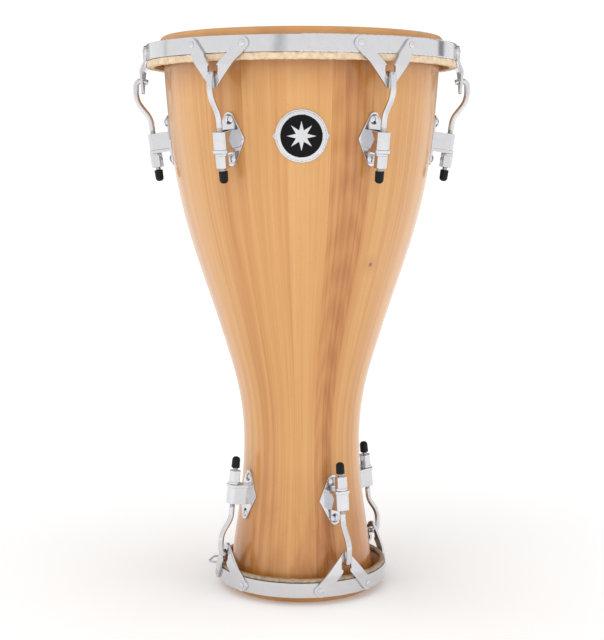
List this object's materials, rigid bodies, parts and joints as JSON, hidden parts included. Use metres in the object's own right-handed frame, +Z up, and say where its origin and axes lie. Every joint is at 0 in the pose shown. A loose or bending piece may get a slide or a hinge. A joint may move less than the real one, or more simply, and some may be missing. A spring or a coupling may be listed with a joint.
{
  "type": "bata drum",
  "caption": "Free-standing double-headed hourglass drum: glued wooden stave shell, hide heads, chromed rims held by hooked tuning rods and nuts.",
  "frame": {"origin": "centre of the small head's outer face, on which the drum stands", "axes": "+Z up along the drum's axis to the large head; -Y is the front, with the badge"},
  "size_m": [0.3796, 0.348, 0.627],
  "materials": {
    "shell_wood": "gloss lacquer",
    "skin": "smooth rawhide",
    "rawhide": "rough mottled rawhide",
    "chrome": "polished",
    "inner_steel": "zinc plated",
    "cap_rubber": "matte",
    "badge_enamel": "gloss enamel"
  },
  "bodies": {
    "shell": {"shell_staves": "shell_wood", "top_skin": "skin", "bottom_skin": "skin", "top_lug_plates": "chrome", "bottom_lug_plates": "chrome", "lug_brackets": "chrome", "lug_bearing_plates": "chrome", "lug_bolts": "chrome", "lug_backing_plates": "inner_steel", "lug_inner_nuts": "inner_steel", "badge_ring": "chrome", "badge_face": "badge_enamel", "badge_emblem": "chrome", "badge_nails": "chrome"},
    "top_rim": {"top_band": "chrome", "top_straps": "chrome", "top_rivets": "chrome", "top_strap_loop": "chrome", "top_hoop_core": "inner_steel", "top_hide_wrap": "rawhide"},
    "top_rod_1_assembly": {"top_rod_1": "chrome", "top_rod_cap_1": "cap_rubber"},
    "top_nut_1": {"top_tuning_nut_1": "chrome"},
    "top_rod_2_assembly": {"top_rod_2": "chrome", "top_rod_cap_2": "cap_rubber"},
    "top_nut_2": {"top_tuning_nut_2": "chrome"},
    "top_rod_3_assembly": {"top_rod_3": "chrome", "top_rod_cap_3": "cap_rubber"},
    "top_nut_3": {"top_tuning_nut_3": "chrome"},
    "top_rod_4_assembly": {"top_rod_4": "chrome", "top_rod_cap_4": "cap_rubber"},
    "top_nut_4": {"top_tuning_nut_4": "chrome"},
    "top_rod_5_assembly": {"top_rod_5": "chrome", "top_rod_cap_5": "cap_rubber"},
    "top_nut_5": {"top_tuning_nut_5": "chrome"},
    "top_rod_6_assembly": {"top_rod_6": "chrome", "top_rod_cap_6": "cap_rubber"},
    "top_nut_6": {"top_tuning_nut_6": "chrome"},
    "bottom_rim": {"bottom_band": "chrome", "bottom_straps": "chrome", "bottom_rivets": "chrome", "bottom_strap_loop": "chrome", "bottom_hoop_core": "inner_steel", "bottom_hide_wrap": "rawhide"},
    "bottom_rod_1_assembly": {"bottom_rod_1": "chrome", "bottom_rod_cap_1": "cap_rubber"},
    "bottom_nut_1": {"bottom_tuning_nut_1": "chrome"},
    "bottom_rod_2_assembly": {"bottom_rod_2": "chrome", "bottom_rod_cap_2": "cap_rubber"},
    "bottom_nut_2": {"bottom_tuning_nut_2": "chrome"},
    "bottom_rod_3_assembly": {"bottom_rod_3": "chrome", "bottom_rod_cap_3": "cap_rubber"},
    "bottom_nut_3": {"bottom_tuning_nut_3": "chrome"},
    "bottom_rod_4_assembly": {"bottom_rod_4": "chrome", "bottom_rod_cap_4": "cap_rubber"},
    "bottom_nut_4": {"bottom_tuning_nut_4": "chrome"}
  },
  "joints": [
    {"name": "top_rim_slide", "type": "slide", "parent": "shell", "child": "top_rim", "axis": [0, 0, -1], "range_m": [-0.002, 0.004]},
    {"name": "top_rod_1_slide", "type": "slide", "parent": "shell", "child": "top_rod_1_assembly", "axis": [0.0696, -0.1205, -0.9903], "range_m": [-0.00202, 0.00405]},
    {"name": "top_nut_1_turn", "type": "hinge", "parent": "shell", "child": "top_nut_1", "pos_m": [-0.08209, 0.14219, 0.49147], "axis": [-0.0696, 0.1205, 0.9903], "range_deg": [-575, 1148]},
    {"name": "top_rod_2_slide", "type": "slide", "parent": "shell", "child": "top_rod_2_assembly", "axis": [0.1392, 0, -0.9903], "range_m": [-0.00202, 0.00405]},
    {"name": "top_nut_2_turn", "type": "hinge", "parent": "shell", "child": "top_nut_2", "pos_m": [-0.16419, 0, 0.49147], "axis": [-0.1392, 0, 0.9903], "range_deg": [-575, 1148]},
    {"name": "top_rod_3_slide", "type": "slide", "parent": "shell", "child": "top_rod_3_assembly", "axis": [0.0696, 0.1205, -0.9903], "range_m": [-0.00202, 0.00405]},
    {"name": "top_nut_3_turn", "type": "hinge", "parent": "shell", "child": "top_nut_3", "pos_m": [-0.08209, -0.14219, 0.49147], "axis": [-0.0696, -0.1205, 0.9903], "range_deg": [-575, 1148]},
    {"name": "top_rod_4_slide", "type": "slide", "parent": "shell", "child": "top_rod_4_assembly", "axis": [-0.0696, 0.1205, -0.9903], "range_m": [-0.00202, 0.00405]},
    {"name": "top_nut_4_turn", "type": "hinge", "parent": "shell", "child": "top_nut_4", "pos_m": [0.08209, -0.14219, 0.49147], "axis": [0.0696, -0.1205, 0.9903], "range_deg": [-575, 1148]},
    {"name": "top_rod_5_slide", "type": "slide", "parent": "shell", "child": "top_rod_5_assembly", "axis": [-0.1392, 0, -0.9903], "range_m": [-0.00202, 0.00405]},
    {"name": "top_nut_5_turn", "type": "hinge", "parent": "shell", "child": "top_nut_5", "pos_m": [0.16419, 0, 0.49147], "axis": [0.1392, 0, 0.9903], "range_deg": [-575, 1148]},
    {"name": "top_rod_6_slide", "type": "slide", "parent": "shell", "child": "top_rod_6_assembly", "axis": [-0.0696, -0.1205, -0.9903], "range_m": [-0.00202, 0.00405]},
    {"name": "top_nut_6_turn", "type": "hinge", "parent": "shell", "child": "top_nut_6", "pos_m": [0.08209, 0.14219, 0.49147], "axis": [0.0696, 0.1205, 0.9903], "range_deg": [-575, 1148]},
    {"name": "bottom_rim_slide", "type": "slide", "parent": "shell", "child": "bottom_rim", "axis": [0, 0, 1], "range_m": [-0.0015, 0.003]},
    {"name": "bottom_rod_1_slide", "type": "slide", "parent": "shell", "child": "bottom_rod_1_assembly", "axis": [0.0905, 0.0523, 0.9945], "range_m": [-0.00151, 0.00302]},
    {"name": "bottom_nut_1_turn", "type": "hinge", "parent": "shell", "child": "bottom_nut_1", "pos_m": [-0.07591, -0.04383, 0.13293], "axis": [-0.0905, -0.0523, -0.9945], "range_deg": [-430, 858]},
    {"name": "bottom_rod_2_slide", "type": "slide", "parent": "shell", "child": "bottom_rod_2_assembly", "axis": [-0.0523, 0.0905, 0.9945], "range_m": [-0.00151, 0.00302]},
    {"name": "bottom_nut_2_turn", "type": "hinge", "parent": "shell", "child": "bottom_nut_2", "pos_m": [0.04383, -0.07591, 0.13293], "axis": [0.0523, -0.0905, -0.9945], "range_deg": [-430, 858]},
    {"name": "bottom_rod_3_slide", "type": "slide", "parent": "shell", "child": "bottom_rod_3_assembly", "axis": [-0.0905, -0.0523, 0.9945], "range_m": [-0.00151, 0.00302]},
    {"name": "bottom_nut_3_turn", "type": "hinge", "parent": "shell", "child": "bottom_nut_3", "pos_m": [0.07591, 0.04383, 0.13293], "axis": [0.0905, 0.0523, -0.9945], "range_deg": [-430, 858]},
    {"name": "bottom_rod_4_slide", "type": "slide", "parent": "shell", "child": "bottom_rod_4_assembly", "axis": [0.0523, -0.0905, 0.9945], "range_m": [-0.00151, 0.00302]},
    {"name": "bottom_nut_4_turn", "type": "hinge", "parent": "shell", "child": "bottom_nut_4", "pos_m": [-0.04383, 0.07591, 0.13293], "axis": [-0.0523, 0.0905, -0.9945], "range_deg": [-430, 858]}
  ],
  "couplings": [
    {"joint": "top_rod_1_slide", "follows": "top_rim_slide", "ratio": 1.0098},
    {"joint": "top_nut_1_turn", "follows": "top_rim_slide", "rad_per_m": 4996},
    {"joint": "top_rod_2_slide", "follows": "top_rim_slide", "ratio": 1.0098},
    {"joint": "top_nut_2_turn", "follows": "top_rim_slide", "rad_per_m": 4996},
    {"joint": "top_rod_3_slide", "follows": "top_rim_slide", "ratio": 1.0098},
    {"joint": "top_nut_3_turn", "follows": "top_rim_slide", "rad_per_m": 4996},
    {"joint": "top_rod_4_slide", "follows": "top_rim_slide", "ratio": 1.0098},
    {"joint": "top_nut_4_turn", "follows": "top_rim_slide", "rad_per_m": 4996},
    {"joint": "top_rod_5_slide", "follows": "top_rim_slide", "ratio": 1.0098},
    {"joint": "top_nut_5_turn", "follows": "top_rim_slide", "rad_per_m": 4996},
    {"joint": "top_rod_6_slide", "follows": "top_rim_slide", "ratio": 1.0098},
    {"joint": "top_nut_6_turn", "follows": "top_rim_slide", "rad_per_m": 4996},
    {"joint": "bottom_rod_1_slide", "follows": "bottom_rim_slide", "ratio": 1.0055},
    {"joint": "bottom_nut_1_turn", "follows": "bottom_rim_slide", "rad_per_m": 4974.6},
    {"joint": "bottom_rod_2_slide", "follows": "bottom_rim_slide", "ratio": 1.0055},
    {"joint": "bottom_nut_2_turn", "follows": "bottom_rim_slide", "rad_per_m": 4974.6},
    {"joint": "bottom_rod_3_slide", "follows": "bottom_rim_slide", "ratio": 1.0055},
    {"joint": "bottom_nut_3_turn", "follows": "bottom_rim_slide", "rad_per_m": 4974.6},
    {"joint": "bottom_rod_4_slide", "follows": "bottom_rim_slide", "ratio": 1.0055},
    {"joint": "bottom_nut_4_turn", "follows": "bottom_rim_slide", "rad_per_m": 4974.6}
  ]
}
